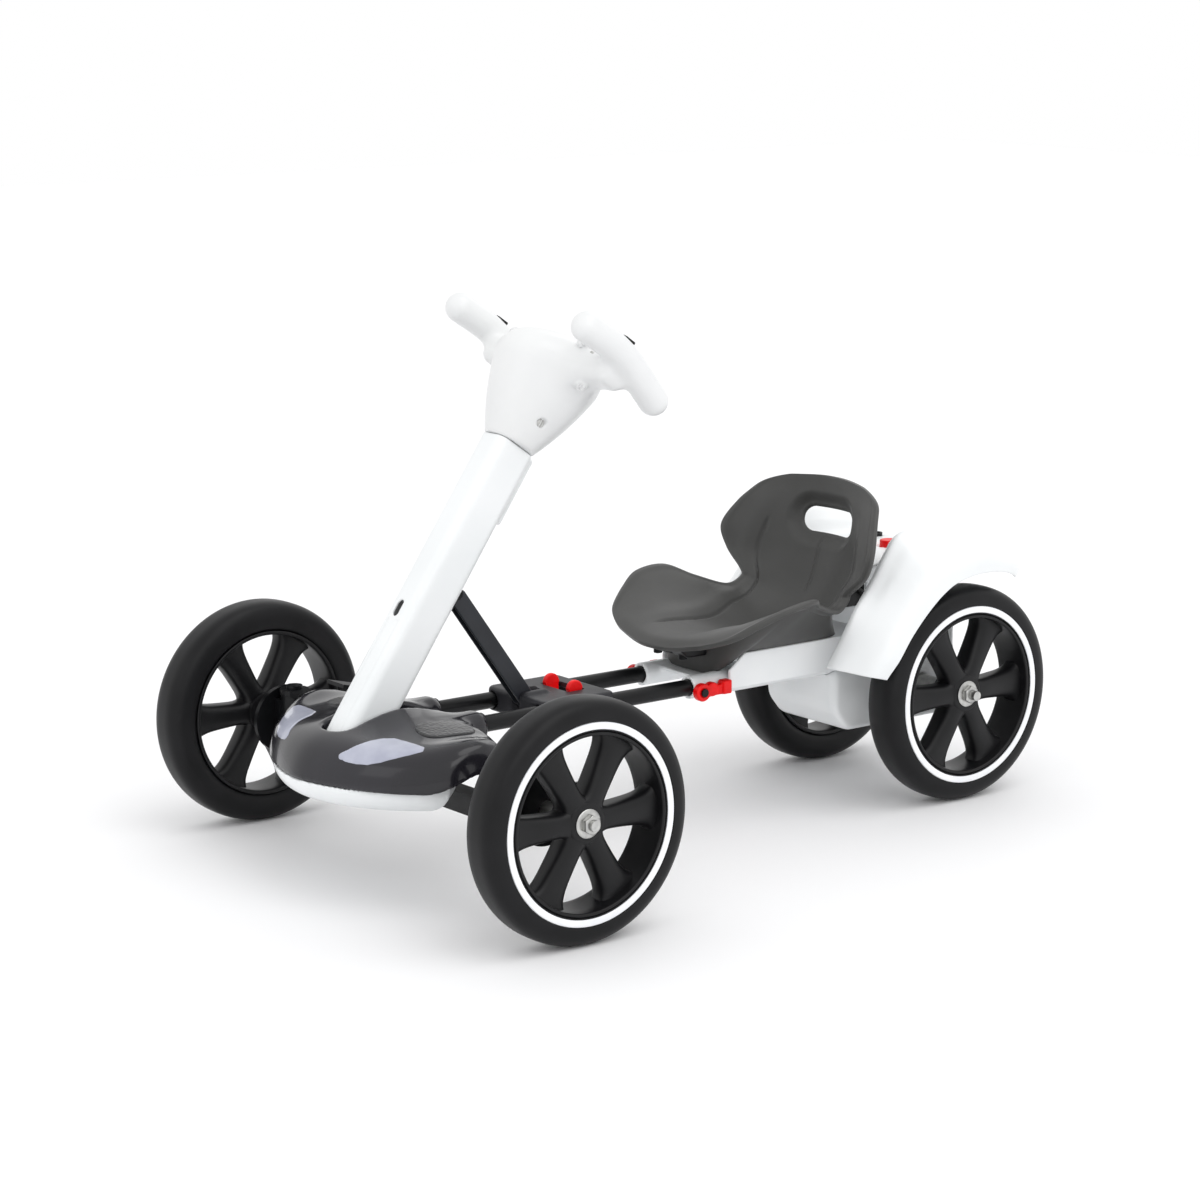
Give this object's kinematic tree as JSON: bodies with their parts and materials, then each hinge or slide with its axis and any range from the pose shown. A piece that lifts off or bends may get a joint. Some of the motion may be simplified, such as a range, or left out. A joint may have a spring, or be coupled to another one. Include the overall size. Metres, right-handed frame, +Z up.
{
  "type": "foldable go kart",
  "caption": "Foldable child's go kart: white steering column with yoke grips, grey bucket seat, four black spoked wheels, sliding black rails and a motor box at the rear",
  "frame": {"origin": "on the floor, under the middle of the overall box", "axes": "+X forwards (direction of travel), +Y to the rider's left, +Z up"},
  "size_m": [0.9495, 0.6496, 0.6008],
  "materials": {
    "tyre_black": "satin",
    "wheel_black": "satin",
    "stripe_white": "satin",
    "zinc_steel": "satin",
    "steel_black": "gloss",
    "signal_red": "gloss",
    "button_black": "matte",
    "shell_grey": "gloss",
    "shell_white": "gloss",
    "panel_pale": "gloss",
    "pad_dark": "matte",
    "steel_graphite": "satin",
    "plastic_graphite": "satin",
    "frame_white": "gloss",
    "seat_grey": "satin"
  },
  "bodies": {
    "root": {"front_axle_beam": "steel_black", "front_frame": "steel_black", "rails": "steel_black", "front_shell_upper": "shell_grey", "front_shell_lower": "shell_white", "light_panels": "panel_pale", "foot_pads": "pad_dark", "pedal_bracket": "plastic_graphite", "pivot_pins": "zinc_steel"},
    "left_knuckle": {"front_left_knuckle": "steel_black", "front_left_stub_axle": "zinc_steel", "front_left_wheel_nut": "zinc_steel"},
    "right_knuckle": {"front_right_knuckle": "steel_black", "front_right_stub_axle": "zinc_steel", "front_right_wheel_nut": "zinc_steel"},
    "left_front_wheel": {"front_left_tyre": "tyre_black", "front_left_rim": "wheel_black", "front_left_stripe": "stripe_white", "front_left_wheel_bearings": "zinc_steel"},
    "right_front_wheel": {"front_right_tyre": "tyre_black", "front_right_rim": "wheel_black", "front_right_stripe": "stripe_white", "front_right_wheel_bearings": "zinc_steel"},
    "steering_link": {"track_rod": "steel_black"},
    "lower_steering": {"lower_steering_shaft": "steel_black"},
    "column": {"column_shell": "shell_white"},
    "yoke": {"steering_shaft": "zinc_steel", "yoke_front_shell": "shell_white", "yoke_rear_shell": "shell_white", "yoke_screws": "zinc_steel"},
    "left_thumb": {"left_thumb_button": "button_black"},
    "right_thumb": {"right_thumb_button": "button_black"},
    "strut": {"fold_strut": "steel_graphite", "strut_pins": "zinc_steel"},
    "bracket": {"slide_bracket": "plastic_graphite"},
    "left_tab": {"left_release_tab": "signal_red"},
    "right_tab": {"right_release_tab": "signal_red"},
    "pedal": {"accelerator_pedal": "plastic_graphite"},
    "rear": {"rear_frame": "frame_white", "clamp_pins": "zinc_steel", "motor_housing": "shell_white", "axle_bearings": "zinc_steel", "motor": "zinc_steel", "battery": "button_black", "seat": "seat_grey", "seat_bolts": "zinc_steel", "rear_cover": "shell_white", "charge_socket": "button_black"},
    "left_clamp": {"left_clamp_lever": "signal_red"},
    "right_clamp": {"right_clamp_lever": "signal_red"},
    "rear_wheels": {"rear_axle": "zinc_steel", "rear_left_tyre": "tyre_black", "rear_left_rim": "wheel_black", "rear_right_tyre": "tyre_black", "rear_right_rim": "wheel_black", "rear_stripes": "stripe_white", "rear_wheel_nuts": "zinc_steel", "axle_gear": "zinc_steel"},
    "pinion": {"motor_pinion": "zinc_steel"},
    "switch": {"power_switch": "signal_red"}
  },
  "joints": [
    {"name": "column_fold", "type": "hinge", "parent": "root", "child": "column", "pos_m": [0.3954, 0, 0.1685], "axis": [0, -1, 0], "range_deg": [0, 24]},
    {"name": "strut_swing", "type": "hinge", "parent": "column", "child": "strut", "pos_m": [0.2736, 0, 0.29818], "axis": [0, -1, 0], "range_deg": [-53.5, 0]},
    {"name": "bracket_slide", "type": "slide", "parent": "root", "child": "bracket", "axis": [1, 0, 0], "range_m": [-0.094, 0]},
    {"name": "yoke_steer", "type": "hinge", "parent": "column", "child": "yoke", "pos_m": [0.3954, 0, 0.1685], "axis": [-0.5707, 0, 0.8211], "range_deg": [-30, 30]},
    {"name": "lower_steer", "type": "hinge", "parent": "root", "child": "lower_steering", "pos_m": [0.3954, 0, 0.1685], "axis": [0, 0, 1], "range_deg": [-31, 31]},
    {"name": "left_knuckle_steer", "type": "hinge", "parent": "root", "child": "left_knuckle", "pos_m": [0.3334, 0.22, 0.125], "axis": [0, 0, 1], "range_deg": [-31, 31]},
    {"name": "right_knuckle_steer", "type": "hinge", "parent": "root", "child": "right_knuckle", "pos_m": [0.3334, -0.22, 0.125], "axis": [0, 0, 1], "range_deg": [-31, 31]},
    {"name": "track_rod_swing", "type": "hinge", "parent": "left_knuckle", "child": "steering_link", "pos_m": [0.2734, 0.22, 0.131], "axis": [0, 0, 1], "range_deg": [-31, 31]},
    {"name": "left_front_spin", "type": "hinge", "parent": "left_knuckle", "child": "left_front_wheel", "pos_m": [0.3334, 0.295, 0.125], "axis": [0, 1, 0], "continuous": true},
    {"name": "right_front_spin", "type": "hinge", "parent": "right_knuckle", "child": "right_front_wheel", "pos_m": [0.3334, -0.295, 0.125], "axis": [0, 1, 0], "continuous": true},
    {"name": "frame_slide", "type": "slide", "parent": "root", "child": "rear", "axis": [-1, 0, 0], "range_m": [-0.03, 0.06]},
    {"name": "rear_axle_spin", "type": "hinge", "parent": "rear", "child": "rear_wheels", "pos_m": [-0.3498, 0, 0.125], "axis": [0, 1, 0], "continuous": true},
    {"name": "pinion_spin", "type": "hinge", "parent": "rear", "child": "pinion", "pos_m": [-0.3153, 0, 0.125], "axis": [0, 1, 0], "continuous": true},
    {"name": "left_clamp_turn", "type": "hinge", "parent": "rear", "child": "left_clamp", "pos_m": [-0.0182, 0.06, 0.16], "axis": [0, -1, 0], "range_deg": [0, 90]},
    {"name": "right_clamp_turn", "type": "hinge", "parent": "rear", "child": "right_clamp", "pos_m": [-0.0182, -0.06, 0.16], "axis": [0, -1, 0], "range_deg": [0, 90]},
    {"name": "left_tab_press", "type": "slide", "parent": "bracket", "child": "left_tab", "axis": [0, -1, 0], "range_m": [0, 0.005], "stiffness_N_per_m": 400, "springref_m": -0.001},
    {"name": "right_tab_press", "type": "slide", "parent": "bracket", "child": "right_tab", "axis": [0, 1, 0], "range_m": [0, 0.005], "stiffness_N_per_m": 400, "springref_m": -0.001},
    {"name": "left_thumb_press", "type": "slide", "parent": "yoke", "child": "left_thumb", "axis": [0.5707, 0, -0.8211], "range_m": [0, 0.0015], "stiffness_N_per_m": 600, "springref_m": -0.001},
    {"name": "right_thumb_press", "type": "slide", "parent": "yoke", "child": "right_thumb", "axis": [0.5707, 0, -0.8211], "range_m": [0, 0.0015], "stiffness_N_per_m": 600, "springref_m": -0.001},
    {"name": "switch_press", "type": "slide", "parent": "rear", "child": "switch", "axis": [0, 0, -1], "range_m": [0, 0.002], "stiffness_N_per_m": 1500, "springref_m": -0.001},
    {"name": "pedal_press", "type": "hinge", "parent": "root", "child": "pedal", "pos_m": [0.3174, -0.082, 0.18293], "axis": [0, 1, 0], "range_deg": [0, 12], "stiffness_Nm_per_rad": 1, "springref_deg": -5.73}
  ],
  "couplings": [
    {"joint": "strut_swing", "follows": "column_fold", "ratio": -2.1838},
    {"joint": "bracket_slide", "follows": "column_fold", "m_per_rad": -0.22142},
    {"joint": "lower_steer", "follows": "yoke_steer", "ratio": 1},
    {"joint": "left_knuckle_steer", "follows": "yoke_steer", "ratio": 1},
    {"joint": "right_knuckle_steer", "follows": "yoke_steer", "ratio": 1},
    {"joint": "track_rod_swing", "follows": "yoke_steer", "ratio": -1},
    {"joint": "pinion_spin", "follows": "rear_axle_spin", "ratio": -2.8333}
  ]
}
